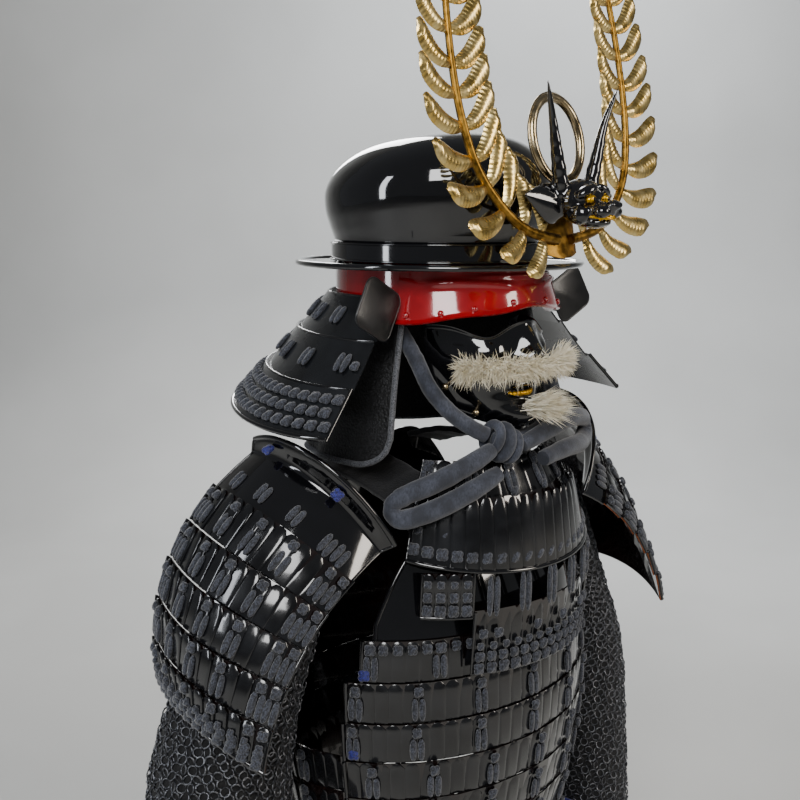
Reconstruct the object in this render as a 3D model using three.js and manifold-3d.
// A suit of Japanese armour, worn but with no wearer in it: helmet, crest, mask, throat guard, cuirass with
// tassets, shoulder guards and mail sleeves. Millimetres, +Z up. It faces -Y, its right arm is at -X, and the
// origin is the middle of the shoulders. Every lame is a wall of its own, laid over the one above it.
import * as THREE from 'three';
import Module from 'manifold-3d';

const wasm = await Module();
wasm.setup();

// ---------------------------------------------------------------- driving dimensions
const HEAD_Y = -15; // the helmet's upright axis
const BRIM_Z = 206;
const BRIM_HALF_WIDTH = 133;
const BRIM_HALF_LENGTH = 148;
const LACQUERED = 1.6; // thickness of a lacquered lame
const PLATE = 2; // thickness of a single forged plate
const LEATHER = 3;
const CLOTH = 2.5;
const LEAN = 2.6; // how far a lame's head stands out over the lame above it
const CORD_RADIUS = 7.5;
const BOW_RADIUS = 8.5;
const NECK_LAMES = 3;
const SHOULDER_LAMES = 5;
const CHEST_LAMES = 3;
const BODY_LAMES = 2;
const WAIST_LAMES = 2;
const BODY_PITCH = 38;
const TASSETS = 7;
const TASSET_LAMES = 5;

const RIGHT = -1;
const LEFT = 1;
const SIDES = [['right', RIGHT], ['left', LEFT]];

const radians = THREE.MathUtils.degToRad;
const armour = new THREE.Group();

// ---------------------------------------------------------------- finishes
const FINISHES = {
  lacquer: { color: 0x0b0b0d, roughness: 0.15, metalness: 0 },
  redLacquer: { color: 0x8e1216, roughness: 0.15, metalness: 0 },
  leather: { color: 0x141416, roughness: 0.5, metalness: 0 },
  cloth: { color: 0x17181b, roughness: 0.9, metalness: 0 },
  cord: { color: 0x4b4e5c, roughness: 0.85, metalness: 0 },
  gold: { color: 0xd9b85a, roughness: 0.35, metalness: 1 },
  bronze: { color: 0xa58a5c, roughness: 0.35, metalness: 1 },
  mail: { color: 0x2a2b2e, roughness: 0.5, metalness: 0.8 },
  hair: { color: 0xefe9c8, roughness: 0.9, metalness: 0 },
};

function add(name, geometry, finish, parent = armour) {
  const mesh = new THREE.Mesh(geometry, new THREE.MeshStandardMaterial(FINISHES[finish]));
  mesh.name = name;
  parent.add(mesh);
  return mesh;
}

// ---------------------------------------------------------------- solids from grids of points
function closedSolid(points, triangles) {
  const corner = (index) => points[index];
  const volume = triangles.reduce(
    (sum, [a, b, c]) => sum + corner(a).dot(corner(b).clone().cross(corner(c))), 0);
  const outward = volume < 0 ? triangles.map(([a, b, c]) => [a, c, b]) : triangles;
  const geometry = new THREE.BufferGeometry().setFromPoints(points);
  geometry.setIndex(outward.flat());
  geometry.computeVertexNormals();
  return geometry;
}

function quad(a, b, c, d) {
  return [[a, b, c], [a, c, d]];
}

// A wall whose outer face follows surface.at(u, v). Each row is a height from 0 (bottom) to 1 (top) and how
// far the face is lifted off the surface there; bottom and top may change along u.
function wall(surface, { across, columns, bottom, top, rows, thickness, closed = false, lift = () => 0 }) {
  const [first, last] = across;
  const bottomAt = typeof bottom === 'function' ? bottom : () => bottom;
  const topAt = typeof top === 'function' ? top : () => top;
  const nudgeU = (last - first) / 1000;
  const nudgeV = (topAt(first) - bottomAt(first)) / 1000;
  const count = closed ? columns : columns + 1;
  const points = [];
  for (const row of rows) {
    for (let column = 0; column < count; column++) {
      const u = first + (last - first) * column / columns;
      const v = THREE.MathUtils.lerp(bottomAt(u), topAt(u), row.at);
      const point = surface.at(u, v);
      const alongU = surface.at(u + nudgeU, v).sub(surface.at(u - nudgeU, v));
      const alongV = surface.at(u, v + nudgeV).sub(surface.at(u, v - nudgeV));
      const normal = alongU.cross(alongV).normalize();
      if (normal.dot(point.clone().sub(surface.core(u, v))) < 0) normal.negate();
      const outer = point.addScaledVector(normal, row.lift + lift(u, row));
      points.push(outer, outer.clone().addScaledVector(normal, -thickness));
    }
  }
  const outerAt = (row, column) => 2 * (row * count + column % count);
  const innerAt = (row, column) => outerAt(row, column) + 1;
  const triangles = [];
  const lastRow = rows.length - 1;
  for (let column = 0; column < columns; column++) {
    const next = column + 1;
    for (let row = 0; row < lastRow; row++) {
      triangles.push(
        ...quad(outerAt(row, column), outerAt(row, next), outerAt(row + 1, next), outerAt(row + 1, column)),
        ...quad(innerAt(row, column), innerAt(row + 1, column), innerAt(row + 1, next), innerAt(row, next)));
    }
    triangles.push(
      ...quad(outerAt(0, next), outerAt(0, column), innerAt(0, column), innerAt(0, next)),
      ...quad(outerAt(lastRow, column), outerAt(lastRow, next), innerAt(lastRow, next), innerAt(lastRow, column)));
  }
  if (!closed) {
    for (let row = 0; row < lastRow; row++) {
      triangles.push(
        ...quad(outerAt(row, 0), outerAt(row + 1, 0), innerAt(row + 1, 0), innerAt(row, 0)),
        ...quad(outerAt(row + 1, columns), outerAt(row, columns), innerAt(row, columns), innerAt(row + 1, columns)));
    }
  }
  return closedSolid(points, triangles);
}

const FLAT_ROWS = [{ at: 0, lift: 0 }, { at: 0.5, lift: 0 }, { at: 1, lift: 0 }];
const LAME_ROWS = [{ at: 0, lift: 0 }, { at: 0.5, lift: LEAN / 2 }, { at: 1, lift: LEAN }];

// Rows of several lames in one wall: each lame's head stands out over the foot of the lame above it.
function steppedRows(lames) {
  return Array.from({ length: lames }, (_, lame) => [
    { at: lame / lames + (lame ? 0.006 : 0), lift: 0 }, { at: (lame + 1) / lames, lift: LEAN },
  ]).flat();
}

// A solid turned about the head's axis: its section is a list of (reach, z), where a reach of 1 is the oval's
// own half width and half length. A section that starts and ends at reach 0 is closed there by a point.
function turned(section, oval, sides) {
  const points = [];
  const rings = section.map(({ reach, z }) => {
    const count = reach === 0 ? 1 : sides;
    const start = points.length;
    for (let side = 0; side < count; side++) {
      points.push(onOval(2 * Math.PI * side / sides, {
        y: oval.y,
        z: z + oval.rise * reach * Math.cos(2 * Math.PI * side / sides) * (z - oval.riseFrom),
        halfWidth: reach * oval.halfWidth,
        front: reach * oval.halfLength,
        back: reach * oval.halfLength,
      }));
    }
    return { start, count };
  });
  const pointed = rings[0].count === 1;
  const pairs = rings.slice(1).map((ring, index) => [rings[index], ring]);
  if (!pointed) pairs.push([rings.at(-1), rings[0]]);
  const triangles = [];
  for (const [lower, upper] of pairs) {
    for (let side = 0; side < sides; side++) {
      const pick = (ring, offset) => ring.start + (ring.count === 1 ? 0 : (side + offset) % sides);
      if (lower.count > 1) triangles.push([pick(lower, 0), pick(lower, 1), pick(upper, 0)]);
      if (upper.count > 1) triangles.push([pick(lower, 1), pick(upper, 1), pick(upper, 0)]);
    }
  }
  return closedSolid(points, triangles);
}

// A point on a level oval: angle 0 is the front, 90 degrees the armour's left and 180 the back.
function onOval(angle, oval) {
  const reach = Math.cos(angle) > 0 ? oval.front : oval.back;
  return new THREE.Vector3(
    oval.halfWidth * Math.sin(angle), oval.y - reach * Math.cos(angle), oval.z);
}

// The row of a table at a value of its key column, on a smooth curve through the rows' own numbers.
function rowAt(table, key, value) {
  const upper = THREE.MathUtils.clamp(table.findIndex((row) => row[key] > value), 1, table.length - 1);
  const index = value >= table.at(-1)[key] ? table.length - 1 : upper;
  const [before, low, high, after] = [index - 2, index - 1, index, index + 1].map(
    (at) => table[THREE.MathUtils.clamp(at, 0, table.length - 1)]);
  const span = high[key] - low[key];
  const t = (value - low[key]) / span;
  const slope = (one, other, column) =>
    one === other ? 0 : (other[column] - one[column]) / (other[key] - one[key]) * span;
  const found = {};
  for (const column of Object.keys(low)) {
    const [start, end] = [slope(before, high, column), slope(low, after, column)];
    found[column] = low[column] * (2 * t ** 3 - 3 * t ** 2 + 1) + start * (t ** 3 - 2 * t ** 2 + t)
      + high[column] * (3 * t ** 2 - 2 * t ** 3) + end * (t ** 3 - t ** 2);
  }
  found[key] = value;
  return found;
}

// A surface round an upright axis, given by a table of ovals from the lowest up.
function ovalSurface(table) {
  return {
    at: (angle, z) => onOval(angle, rowAt(table, 'z', z)),
    core: (angle, z) => new THREE.Vector3(0, rowAt(table, 'z', z).y, z),
  };
}

function degrees(from, to) {
  return [radians(from), radians(to)];
}

// ---------------------------------------------------------------- helmet
const BOWL_SECTION = [
  { reach: 0, z: 117 }, { reach: 0.4, z: 114 }, { reach: 0.74, z: 106 }, { reach: 0.96, z: 91 },
  { reach: 1.07, z: 72 }, { reach: 1.075, z: 52 }, { reach: 1.03, z: 34 }, { reach: 0.98, z: 17 },
  { reach: 0.98, z: 0 },
];
const HEAD_OVAL = { y: HEAD_Y, halfWidth: 98, halfLength: 106, rise: 0, riseFrom: BRIM_Z };
const BOWL_OVAL = { ...HEAD_OVAL, rise: 0.1 };
const BOWL_Z = BRIM_Z + 2.5;
const bowlOutside = BOWL_SECTION.map(({ reach, z }) => ({ reach, z: BOWL_Z + z }));
const bowlInside = BOWL_SECTION.map(({ reach, z }) => ({
  reach: Math.max(0, reach - PLATE / HEAD_OVAL.halfWidth), z: BOWL_Z + Math.max(0, z - PLATE * (1 - z / 400)),
}));
add('helmet_bowl', turned([...bowlOutside, ...bowlInside.reverse()], BOWL_OVAL, 28), 'lacquer');

add('helmet_band', turned([
  { reach: 1.0, z: BRIM_Z + 2.5 }, { reach: 1.022, z: BRIM_Z + 2.5 }, { reach: 1.022, z: BRIM_Z + 19 },
  { reach: 1.0, z: BRIM_Z + 19 },
], HEAD_OVAL, 28), 'lacquer');

const BRIM_OVAL = { ...HEAD_OVAL, halfWidth: BRIM_HALF_WIDTH, halfLength: BRIM_HALF_LENGTH };
add('helmet_brim', turned([
  { reach: 0.68, z: BRIM_Z + 1 }, { reach: 0.68, z: BRIM_Z - 1 }, { reach: 0.965, z: BRIM_Z - 1 },
  { reach: 0.98, z: BRIM_Z - 3 }, { reach: 1, z: BRIM_Z }, { reach: 0.98, z: BRIM_Z + 3 },
  { reach: 0.965, z: BRIM_Z + 1 },
], BRIM_OVAL, 32), 'lacquer');

add('brow_band', turned([
  { reach: 0.955, z: BRIM_Z - 34 }, { reach: 0.98, z: BRIM_Z - 34 }, { reach: 0.98, z: BRIM_Z - 1.5 },
  { reach: 0.955, z: BRIM_Z - 1.5 },
], HEAD_OVAL, 28), 'redLacquer');

const VISOR_OVALS = [
  { z: 150, y: HEAD_Y, halfWidth: 114, front: 130, back: 120 },
  { z: 180, y: HEAD_Y, halfWidth: 106, front: 120, back: 112 },
  { z: 206, y: HEAD_Y, halfWidth: 101, front: 110, back: 108 },
];
const visorSurface = ovalSurface(VISOR_OVALS);
const VISOR_SIDE_Z = 157;
const VISOR_FRONT_Z = 169;
add('visor', wall(visorSurface, {
  across: degrees(-66, 66), columns: 20, rows: FLAT_ROWS, thickness: PLATE, top: BRIM_Z - 3.5,
  bottom: (angle) => THREE.MathUtils.lerp(VISOR_SIDE_Z, VISOR_FRONT_Z, Math.cos(angle * 1.35) ** 2),
}), 'redLacquer');

// ---------------------------------------------------------------- neck guard
const NECK_OVALS = [
  { z: 66, y: HEAD_Y, halfWidth: 220, front: 200, back: 196 },
  { z: 118, y: HEAD_Y, halfWidth: 161, front: 158, back: 154 },
  { z: 180, y: HEAD_Y, halfWidth: 102, front: 118, back: 110 },
];
const NECK_BOTTOM = 66;
const NECK_BACK_RISE = 13; // the guard is cut this much shorter behind
const NECK_TOP = 178;
const NECK_SWEEP = [-68, -292]; // from the right front edge round the back to the left one
const neckSurface = ovalSurface(NECK_OVALS);
for (let lame = 0; lame < NECK_LAMES; lame++) {
  const pitch = (NECK_TOP - NECK_BOTTOM) / NECK_LAMES;
  const edgeAt = (level) => (angle) => NECK_TOP - level * pitch
    + NECK_BACK_RISE * (level / NECK_LAMES) * THREE.MathUtils.smoothstep(-Math.cos(angle), -0.4, 1);
  add(`neck_lame_${lame + 1}`, wall(neckSurface, {
    across: degrees(...NECK_SWEEP), columns: 24, thickness: LACQUERED, bottom: edgeAt(lame + 0.97),
    top: edgeAt(lame), rows: lame === 0 ? FLAT_ROWS : LAME_ROWS,
  }), 'lacquer');
}

// A rounded square of stiff leather, facing forwards: its middle, its width outwards and its height upwards.
const TURNBACK = { corner: 9, middle: [132, -76, 171], width: [40, -4, 22], height: [-22, 4, 39] };
function turnbackPlate(width, height) {
  const { corner } = TURNBACK;
  const [x, y] = [width / 2 - corner, height / 2 - corner];
  const outline = new THREE.Shape();
  outline.absarc(x, y, corner, 0, Math.PI / 2);
  outline.absarc(-x, y, corner, Math.PI / 2, Math.PI);
  outline.absarc(-x, -y, corner, Math.PI, 1.5 * Math.PI);
  outline.absarc(x, -y, corner, 1.5 * Math.PI, 2 * Math.PI);
  const plate = new THREE.ExtrudeGeometry(outline, { depth: LEATHER, bevelEnabled: false, curveSegments: 3 });
  return plate.translate(0, 0, -LEATHER / 2);
}
for (const [side, sign] of SIDES) {
  const place = (name) => new THREE.Vector3(...TURNBACK[name]).multiply(new THREE.Vector3(sign, 1, 1));
  const [width, height] = [place('width'), place('height')];
  const plate = add(`turnback_${side}`, turnbackPlate(width.length(), height.length()), 'leather');
  const facing = new THREE.Vector3().crossVectors(width, height);
  const upright = new THREE.Vector3().crossVectors(facing, width);
  plate.quaternion.setFromRotationMatrix(new THREE.Matrix4().makeBasis(
    width.normalize(), upright.normalize(), facing.normalize()));
  plate.position.copy(place('middle'));
}

const CURTAIN_OVALS = [
  { z: 26, y: HEAD_Y, halfWidth: 130, front: 138, back: 128 },
  { z: 100, y: HEAD_Y, halfWidth: 112, front: 116, back: 114 },
  { z: 160, y: HEAD_Y, halfWidth: 97, front: 104, back: 104 },
];
const CURTAIN_SWEEP = [-65, -295];
const CURTAIN_CORNER = radians(16);
const curtainSurface = ovalSurface(CURTAIN_OVALS);
add('neck_curtain', wall(curtainSurface, {
  across: degrees(...CURTAIN_SWEEP), columns: 22, rows: FLAT_ROWS, thickness: CLOTH, top: 158,
  bottom: (angle) => {
    const fromEdge = Math.min(radians(CURTAIN_SWEEP[0]) - angle, angle - radians(CURTAIN_SWEEP[1]));
    const turn = THREE.MathUtils.clamp(1 - fromEdge / CURTAIN_CORNER, 0, 1);
    return 27 + 26 * (1 - Math.sqrt(1 - turn ** 2));
  },
}), 'cloth');

// ---------------------------------------------------------------- crest
const CREST_BASE = new THREE.Vector3(0, -171, 228);
const CREST_LEAN = 11;
const CREST_THICKNESS = 2.4;
const crest = new THREE.Group();
crest.position.copy(CREST_BASE);
crest.rotation.x = radians(90 - CREST_LEAN);
armour.add(crest);

const STEM = [
  { x: 9, y: 2 }, { x: 46, y: 10 }, { x: 74, y: 28 }, { x: 98, y: 58 }, { x: 110, y: 96 }, { x: 114, y: 140 },
  { x: 112, y: 195 }, { x: 105, y: 250 }, { x: 96, y: 300 }, { x: 88, y: 332 },
].map(({ x, y }) => new THREE.Vector2(x, y));
const LEAF_PAIRS = 15;
const LEAF_LENGTH = 50;
const LEAF_WIDTH = 24;
const LEAF_OUTLINE = [
  { along: 0, across: -0.14 }, { along: 0.3, across: -0.42 }, { along: 0.62, across: -0.42 },
  { along: 0.88, across: -0.16 }, { along: 1, across: 0.3 }, { along: 0.93, across: 0.5 },
  { along: 0.74, across: 0.44 }, { along: 0.45, across: 0.22 }, { along: 0.2, across: 0.14 },
  { along: 0, across: 0.14 },
];

function leafPolygon(root, direction, length, flip) {
  const across = new THREE.Vector2(-direction.y, direction.x).multiplyScalar(flip);
  return LEAF_OUTLINE.map((row) => [
    root.x + direction.x * length * row.along + across.x * LEAF_WIDTH * row.across,
    root.y + direction.y * length * row.along + across.y * LEAF_WIDTH * row.across,
  ]);
}

// One branch in its own plane: a tapering stem with a leaf each way at even steps, cut out as one plate.
function leafBranch(sign) {
  const stem = new THREE.SplineCurve(STEM.map((point) => new THREE.Vector2(sign * point.x, point.y)));
  const polygons = [];
  const edge = (side) => stem.getSpacedPoints(12).map((point, index) => {
    const tangent = stem.getTangentAt(index / 12);
    const half = side * THREE.MathUtils.lerp(4.5, 2, index / 12);
    return [point.x - tangent.y * half, point.y + tangent.x * half];
  });
  polygons.push([...edge(-1), ...edge(1).reverse()]);
  for (let pair = 0; pair < LEAF_PAIRS; pair++) {
    const along = (pair + 0.7) / (LEAF_PAIRS + 0.2);
    const root = stem.getPointAt(along);
    const tangent = stem.getTangentAt(along);
    const length = LEAF_LENGTH * (pair < 2 ? 0.85 : 1) * THREE.MathUtils.lerp(1.05, 0.7, along ** 2);
    for (const side of [-1, 1]) {
      const turn = side * radians(THREE.MathUtils.lerp(72, 48, along));
      const direction = tangent.clone().rotateAround(new THREE.Vector2(), turn);
      polygons.push(leafPolygon(root, direction, length, -side));
    }
  }
  const outline = wasm.CrossSection.union(polygons.map((polygon) => {
    const piece = new wasm.CrossSection([polygon], 'NonZero');
    return piece.area() > 0 ? piece : new wasm.CrossSection([polygon.slice().reverse()], 'NonZero');
  }));
  const half = outline.intersect(wasm.CrossSection.square([400, 800]).translate(
    [sign > 0 ? 0.2 : -400.2, -200]));
  return fromManifold(half.simplify(0.8).extrude(CREST_THICKNESS).translate([0, 0, -CREST_THICKNESS / 2]));
}

function fromManifold(shape) {
  const { numProp, vertProperties, triVerts } = shape.getMesh();
  const geometry = new THREE.BufferGeometry();
  const places = new Float32Array(vertProperties.length / numProp * 3);
  for (let index = 0; index < places.length / 3; index++) {
    places.set(vertProperties.slice(index * numProp, index * numProp + 3), index * 3);
  }
  geometry.setAttribute('position', new THREE.BufferAttribute(places, 3));
  geometry.setIndex([...triVerts]);
  geometry.computeVertexNormals();
  return geometry;
}

for (const [side, sign] of SIDES) add(`leaf_branch_${side}`, leafBranch(sign), 'gold', crest);

const HOLDER = { width: 42, height: 40, thickness: 3 };
const holderGeometry = new THREE.BoxGeometry(HOLDER.width, HOLDER.height, HOLDER.thickness);
const holder = add('crest_holder', holderGeometry, 'gold', crest);
holder.position.set(0, 6, -(CREST_THICKNESS + HOLDER.thickness) / 2 - 0.3);

const RING = { radius: 35, tube: 4.6, height: 88 };
const ring = add('crest_ring', new THREE.TorusGeometry(RING.radius, RING.tube, 6, 20), 'bronze', crest);
ring.scale.set(0.92, 1.04, 1);
ring.position.set(0, RING.height, RING.tube + CREST_THICKNESS / 2 + 0.4);

// A solid round a curve whose radius changes along it; both ends are rounded off to a point.
function tapered(curve, radiusAt, steps, sides, flatten = 1, flatAxis = new THREE.Vector3(0, 0, 1)) {
  const points = [curve.getPoint(0)];
  for (let step = 1; step < steps; step++) {
    const along = step / steps;
    const centre = curve.getPoint(along);
    const tangent = curve.getTangent(along);
    const across = new THREE.Vector3().crossVectors(tangent, flatAxis).normalize();
    const up = new THREE.Vector3().crossVectors(across, tangent).normalize();
    for (let side = 0; side < sides; side++) {
      const turn = 2 * Math.PI * side / sides;
      points.push(centre.clone()
        .addScaledVector(across, radiusAt(along) * flatten * Math.cos(turn))
        .addScaledVector(up, radiusAt(along) * Math.sin(turn)));
    }
  }
  points.push(curve.getPoint(1));
  const ringAt = (step, side) => 1 + (step - 1) * sides + side % sides;
  const triangles = [];
  for (let side = 0; side < sides; side++) {
    triangles.push([0, ringAt(1, side + 1), ringAt(1, side)]);
    triangles.push([points.length - 1, ringAt(steps - 1, side), ringAt(steps - 1, side + 1)]);
    for (let step = 1; step < steps - 1; step++) {
      triangles.push(...quad(
        ringAt(step, side), ringAt(step, side + 1), ringAt(step + 1, side + 1), ringAt(step + 1, side)));
    }
  }
  return closedSolid(points, triangles);
}

function toManifold(geometry) {
  return new wasm.Manifold(new wasm.Mesh({
    numProp: 3,
    vertProperties: new Float32Array(geometry.attributes.position.array),
    triVerts: new Uint32Array(geometry.index.array),
  }));
}

function curve(...places) {
  return new THREE.CatmullRomCurve3(places.map((place) => new THREE.Vector3(...place)));
}

// The beast's head is carved in one piece: skull, muzzle, jaw, two ears and two horns.
function beastHead() {
  const skull = wasm.Manifold.sphere(1, 14).scale([25, 22, 20]).translate([0, 0, 8]);
  const muzzle = wasm.Manifold.sphere(1, 12).scale([17, 20, 12]).translate([0, -18, 0]);
  const pieces = [skull, muzzle];
  for (const [, sign] of SIDES) {
    const horn = curve([sign * 18, 6, 14], [sign * 26, 5, 42], [sign * 35, 4, 74], [sign * 48, 0, 106]);
    const ear = curve([sign * 14, 2, 4], [sign * 38, 6, 9], [sign * 60, 12, 14]);
    pieces.push(toManifold(tapered(horn, (along) => 7.5 * (1 - along) ** 0.7 + 0.8, 7, 6)));
    pieces.push(toManifold(tapered(ear, (along) => 16 * Math.sin(Math.PI * along ** 0.6), 6, 8, 0.4)));
  }
  return fromManifold(wasm.Manifold.union(pieces));
}
const beast = add('beast_head', beastHead(), 'lacquer');
beast.position.set(0, -188, 254);

// ---------------------------------------------------------------- mask
const FACE_OVALS = [
  { z: 52, y: HEAD_Y, halfWidth: 44, front: 106, back: 60 },
  { z: 72, y: HEAD_Y, halfWidth: 60, front: 116, back: 60 },
  { z: 110, y: HEAD_Y, halfWidth: 72, front: 117, back: 60 },
  { z: 168, y: HEAD_Y, halfWidth: 74, front: 112, back: 60 },
];
// Swellings of the face: how far round and how high each one lies, its reach both ways, and how far it rises.
const FEATURES = [
  { round: 0, z: 134, wide: 9, high: 20, rise: 14 },
  { round: 0, z: 126, wide: 13, high: 8, rise: 9 },
  { round: 33, z: 128, wide: 18, high: 16, rise: 6 },
  { round: 0, z: 92, wide: 20, high: 8, rise: -5 },
  { round: 0, z: 68, wide: 18, high: 12, rise: 9 },
];
const faceOval = ovalSurface(FACE_OVALS);
const faceSurface = {
  at: (angle, z) => {
    const rise = FEATURES.reduce((sum, row) => sum + row.rise * Math.exp(
      -(((Math.abs(angle) - radians(row.round)) / radians(row.wide)) ** 2) - ((z - row.z) / row.high) ** 2), 0);
    const point = faceOval.at(angle, z);
    const outward = point.clone().sub(faceOval.core(angle, z)).normalize();
    return point.addScaledVector(outward, rise);
  },
  core: faceOval.core,
};
const MASK_ROWS = [0, 0.14, 0.28, 0.42, 0.56, 0.7, 0.85, 1].map((at) => ({ at, lift: 0 }));
add('mask', wall(faceSurface, {
  across: degrees(-64, 64), columns: 16, rows: MASK_ROWS, thickness: PLATE,
  bottom: (angle) => 55 + 26 * Math.sin(Math.abs(angle)) ** 2,
  top: (angle) => 158 - 14 * Math.exp(-(((Math.abs(angle) - radians(30)) / radians(16)) ** 2))
    - 8 * Math.sin(Math.abs(angle)) ** 4,
}), 'lacquer');

const hairAxis = new THREE.Vector3(0, 0, 1);
add('moustache', tapered(
  curve([-76, -104, 116], [-52, -140, 121], [-24, -158, 118], [0, -160, 117], [24, -158, 118], [52, -140, 121],
    [76, -104, 116]),
  (along) => 3 + 12 * Math.sin(Math.PI * along) ** 0.5, 14, 8, 0.55, hairAxis), 'hair');
add('beard', tapered(
  curve([0, -145, 80], [0, -155, 84], [0, -168, 88], [0, -182, 93]),
  (along) => 10 * Math.sin(Math.PI * (0.08 + 0.9 * along)) ** 0.6, 6, 8, 1, new THREE.Vector3(1, 0, 0)), 'hair');

// ---------------------------------------------------------------- helmet cord
function cordTube(places, steps, radius = CORD_RADIUS) {
  const section = new THREE.Shape();
  section.absarc(0, 0, radius, 0, 2 * Math.PI);
  return new THREE.ExtrudeGeometry(section, {
    steps, curveSegments: 4, bevelEnabled: false, extrudePath: curve(...places) });
}
const KNOT = { x: -31, y: -130, z: 48, radius: 11, length: 28 };
const STRANDS = {
  right: [[-80, -48, 146], [-81, -70, 122], [-82, -89, 98], [-74, -106, 78], [-60, -119, 64], [-47, -126, 56]],
  left: [[80, -48, 146], [81, -70, 122], [82, -89, 98], [70, -108, 72], [36, -118, 49], [-13, -123, 46]],
};
for (const [side] of SIDES) add(`cord_${side}`, cordTube(STRANDS[side], 12), 'cord');
const knot = add('cord_knot', new THREE.CapsuleGeometry(KNOT.radius, KNOT.length - 2 * KNOT.radius, 3, 10),
  'cord');
knot.position.set(KNOT.x, KNOT.y, KNOT.z);
knot.rotation.set(0.2, 0.5, 0);
const BOWS = {
  right: [[-48, -134, 44], [-74, -131, 34], [-104, -118, 20], [-126, -102, 9], [-136, -96, -1], [-130, -104, -11],
    [-106, -123, -2], [-77, -139, 13], [-50, -145, 25]],
  left: [[-12, -139, 44], [20, -142, 54], [58, -136, 59], [94, -122, 54], [117, -109, 46], [122, -108, 35],
    [108, -116, 28], [78, -132, 30], [44, -144, 33], [6, -149, 30]],
};
for (const [side] of SIDES) add(`cord_bow_${side}`, cordTube(BOWS[side], 16, BOW_RADIUS), 'cord');

// ---------------------------------------------------------------- throat guard
const THROAT_OVALS = [
  { z: -160, y: -40, halfWidth: 140, front: 122, back: 60 },
  { z: -66, y: -40, halfWidth: 139, front: 127, back: 60 },
  { z: -20, y: -40, halfWidth: 118, front: 108, back: 60 },
  { z: 40, y: -40, halfWidth: 84, front: 78, back: 60 },
];
const throatSurface = ovalSurface(THROAT_OVALS);
const THROAT_SWEEP = 62;
add('throat_collar', wall(throatSurface, {
  across: degrees(-THROAT_SWEEP, THROAT_SWEEP), columns: 14, thickness: LACQUERED, top: 30,
  bottom: (angle) => -66 + 24 * (1 - Math.cos(angle)),
  rows: [{ at: 0, lift: LEAN / 4 }, { at: 0.66, lift: LEAN }, { at: 0.668, lift: 0 }, { at: 1, lift: 0 }],
}), 'lacquer');
const THROAT_FLAPS = [
  { name: 'throat_flap_right', from: -55, to: -35, top: -62, bottom: -104 },
  { name: 'throat_front', from: -34, to: 34, top: -98, bottom: -160 },
  { name: 'throat_flap_left', from: 35, to: 55, top: -62, bottom: -104 },
];
for (const flap of THROAT_FLAPS) {
  add(flap.name, wall(throatSurface, {
    across: degrees(flap.from, flap.to), columns: 6, thickness: LACQUERED, rows: FLAT_ROWS,
    top: flap.top, bottom: flap.bottom, lift: () => -LEAN,
  }), 'lacquer');
}

// ---------------------------------------------------------------- cuirass
const BODY_OVALS = [
  { z: -400, y: 0, halfWidth: 160, front: 124, back: 118 },
  { z: -320, y: 0, halfWidth: 174, front: 140, back: 130 },
  { z: -230, y: 0, halfWidth: 184, front: 148, back: 140 },
  { z: -150, y: 0, halfWidth: 180, front: 142, back: 142 },
  { z: -90, y: 0, halfWidth: 166, front: 130, back: 136 },
  { z: -20, y: 0, halfWidth: 140, front: 104, back: 118 },
  { z: 20, y: 0, halfWidth: 116, front: 80, back: 98 },
];
const bodySurface = ovalSurface(BODY_OVALS);
const CHEST_TOP = -127;
const WAIST_Z = -396;

// The upper edge of a breast or back plate: highest at the straps, cut away at the neck and the armholes.
function plateTop(angle, { neck, strap, armhole, strapAt, edgeAt }) {
  const round = Math.abs(angle);
  return round < radians(strapAt)
    ? THREE.MathUtils.lerp(neck, strap, Math.sin(round / radians(strapAt) * Math.PI / 2) ** 2)
    : THREE.MathUtils.lerp(strap, armhole, ((round - radians(strapAt)) / radians(edgeAt - strapAt)) ** 2.2);
}
const BREAST_EDGE = { neck: -66, strap: -42, armhole: -112, strapAt: 34, edgeAt: 54 };
add('breast_plate', wall(bodySurface, {
  across: degrees(-54, 54), columns: 18, rows: FLAT_ROWS, thickness: LACQUERED, bottom: CHEST_TOP + 1,
  top: (angle) => plateTop(angle, BREAST_EDGE),
}), 'lacquer');
const CHEST_REACH = [58, 63, 64]; // how far round each chest lame goes, in degrees
for (let lame = 0; lame < CHEST_LAMES; lame++) {
  const top = CHEST_TOP - lame * BODY_PITCH;
  add(`chest_lame_${lame + 1}`, wall(bodySurface, {
    across: degrees(-CHEST_REACH[lame], CHEST_REACH[lame]), columns: 14, rows: LAME_ROWS, thickness: LACQUERED,
    bottom: top - BODY_PITCH + 1, top,
  }), 'lacquer');
}

const BACK_EDGE = { neck: 0, strap: 16, armhole: -80, strapAt: 30, edgeAt: 56 };
const BACK_SWEEP = degrees(124, 236);
const WRAP_TOP = CHEST_TOP - CHEST_LAMES * BODY_PITCH;
add('back_plate', wall(bodySurface, {
  across: BACK_SWEEP, columns: 18, rows: FLAT_ROWS, thickness: LACQUERED, bottom: CHEST_TOP + 1,
  top: (angle) => plateTop(angle - Math.PI, BACK_EDGE),
}), 'lacquer');
add('back_lames', wall(bodySurface, {
  across: BACK_SWEEP, columns: 14, rows: steppedRows(CHEST_LAMES), thickness: LACQUERED, bottom: WRAP_TOP + 1,
  top: CHEST_TOP,
}), 'lacquer');

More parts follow.
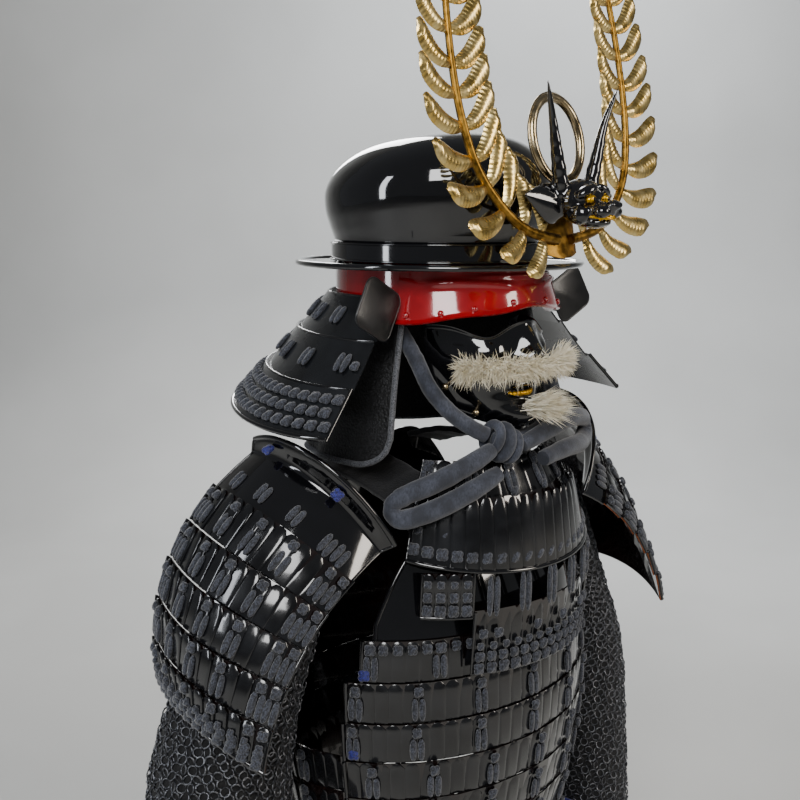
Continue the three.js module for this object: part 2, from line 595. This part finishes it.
// Each body lame starts at the right front, goes round the left side and the back, and ends under its start.
const WRAP = { start: -64, end: 306, under: 7 };
const wrapLift = (angle) => -WRAP.under * THREE.MathUtils.smoothstep(angle, radians(236), radians(288));
for (let lame = 0; lame < BODY_LAMES; lame++) {
  const top = WRAP_TOP - lame * BODY_PITCH;
  add(`body_lame_${lame + 1}`, wall(bodySurface, {
    across: degrees(WRAP.start, WRAP.end), columns: 30, rows: LAME_ROWS, thickness: LACQUERED,
    bottom: top - BODY_PITCH + 1, top, lift: wrapLift,
  }), 'lacquer');
}
add('waist_lames', wall(bodySurface, {
  across: degrees(WRAP.start, WRAP.end), columns: 30, rows: steppedRows(WAIST_LAMES), thickness: LACQUERED,
  bottom: WAIST_Z, top: WRAP_TOP - BODY_LAMES * BODY_PITCH, lift: wrapLift,
}), 'lacquer');

const STRAP = { width: 52, thickness: 5 };
const STRAP_LINE = [
  { x: 74, y: -96, z: -38 }, { x: 84, y: -72, z: -4 }, { x: 92, y: -20, z: 16 }, { x: 88, y: 40, z: 18 },
  { x: 76, y: 84, z: 6 },
];
for (const [side, sign] of SIDES) {
  const line = curve(...STRAP_LINE.map(({ x, y, z }) => [sign * x, y, z]));
  const strapSurface = {
    at: (offset, along) => line.getPoint(THREE.MathUtils.clamp(along, 0, 1)).add(
      new THREE.Vector3(offset, 0, -0.25 * sign * offset)),
    core: () => new THREE.Vector3(sign * 70, 0, -120),
  };
  add(`shoulder_strap_${side}`, wall(strapSurface, {
    across: [-STRAP.width / 2, STRAP.width / 2], columns: 2, thickness: STRAP.thickness, bottom: 0.02, top: 0.98,
    rows: [0, 0.2, 0.4, 0.6, 0.8, 1].map((at) => ({ at, lift: 0 })),
  }), 'cloth');
}

// ---------------------------------------------------------------- tassets
const SKIRT_OVALS = [
  { z: -700, y: 0, halfWidth: 236, front: 200, back: 188 },
  { z: -560, y: 0, halfWidth: 206, front: 172, back: 160 },
  { z: -430, y: 0, halfWidth: 172, front: 138, back: 130 },
];
const TASSET_TOP = -440;
const TASSET_BOTTOM = -690;
const TASSET_GAP = 3; // degrees between one tasset and the next
const skirtSurface = ovalSurface(SKIRT_OVALS);
for (let tasset = 0; tasset < TASSETS; tasset++) {
  const middle = (tasset - (TASSETS - 1) / 2) * 360 / TASSETS;
  const half = 180 / TASSETS - TASSET_GAP / 2;
  add(`tasset_${tasset + 1}`, wall(skirtSurface, {
    across: degrees(middle - half, middle + half), columns: 4, rows: steppedRows(TASSET_LAMES),
    thickness: LACQUERED, bottom: TASSET_BOTTOM, top: TASSET_TOP,
  }), 'lacquer');
}

// ---------------------------------------------------------------- shoulder guards
// Three levels of the guard, each with its front edge, middle and rear edge, for the left side.
const GUARD_LEVELS = [
  { at: 0, front: [284, -105, -192], middle: [304, -30, -166], rear: [283, 52, -162] },
  { at: 0.5, front: [232, -97, -100], middle: [276, -36, -62], rear: [262, 58, -50] },
  { at: 1, front: [135, -91, -36], middle: [176, -50, 30], rear: [186, 26, 42] },
];
function through(first, middle, last, t) {
  return 2 * (t - 0.5) * (t - 1) * first + 4 * t * (1 - t) * middle + 2 * t * (t - 0.5) * last;
}
function guardSurface(sign) {
  return {
    at: (u, v) => new THREE.Vector3(...[0, 1, 2].map((axis) => {
      const levels = GUARD_LEVELS.map((row) => through(row.front[axis], row.middle[axis], row.rear[axis], u));
      return (axis === 0 ? sign : 1) * through(...levels, v);
    })),
    core: () => new THREE.Vector3(sign * 150, 10, -150),
  };
}
const GUARD_TOP_PLATE = 0.2; // share of the guard's height that the top plate takes
const RIM_TURN = 17;
for (const [side, sign] of SIDES) {
  const surface = guardSurface(sign);
  const rimSwell = (u, row) => (row.at === 1 ? RIM_TURN * Math.sqrt(Math.sin(Math.PI * (0.08 + 0.84 * u))) : 0);
  add(`shoulder_plate_${side}`, wall(surface, {
    across: [0, 1], columns: 10, thickness: PLATE, bottom: 1 - GUARD_TOP_PLATE, top: 1, lift: rimSwell,
    rows: [{ at: 0, lift: 0 }, { at: 0.5, lift: 0 }, { at: 0.93, lift: 0.5 }, { at: 1, lift: 2 }],
  }), 'lacquer');
  for (let lame = 0; lame < SHOULDER_LAMES; lame++) {
    const pitch = (1 - GUARD_TOP_PLATE) / SHOULDER_LAMES;
    const top = 1 - GUARD_TOP_PLATE - lame * pitch;
    add(`shoulder_lame_${side}_${lame + 1}`, wall(surface, {
      across: [0, 1], columns: 9, rows: LAME_ROWS, thickness: LACQUERED, bottom: top - pitch + 0.004, top,
    }), 'lacquer');
  }
}

// ---------------------------------------------------------------- mail sleeves
const SLEEVE_SECTIONS = [
  { along: 0, x: 164, y: 8, z: -34, radius: 58 },
  { along: 0.25, x: 214, y: 12, z: -140, radius: 62 },
  { along: 0.5, x: 253, y: 8, z: -250, radius: 64 },
  { along: 0.75, x: 258, y: -8, z: -385, radius: 60 },
  { along: 1, x: 256, y: -36, z: -520, radius: 42 },
];
for (const [side, sign] of SIDES) {
  const sleeveSurface = {
    at: (angle, along) => {
      const row = rowAt(SLEEVE_SECTIONS, 'along', along);
      return new THREE.Vector3(sign * row.x, row.y, row.z).add(new THREE.Vector3(
        row.radius * Math.sin(angle), -row.radius * Math.cos(angle), -0.35 * sign * row.radius * Math.sin(angle)));
    },
    core: (angle, along) => {
      const row = rowAt(SLEEVE_SECTIONS, 'along', along);
      return new THREE.Vector3(sign * row.x, row.y, row.z);
    },
  };
  add(`sleeve_${side}`, wall(sleeveSurface, {
    across: degrees(0, 360), columns: 14, closed: true, thickness: CLOTH, bottom: 1, top: 0,
    rows: [0, 0.16, 0.33, 0.5, 0.75, 1].map((at) => ({ at, lift: 0 })),
  }), 'mail');
}

export default armour;
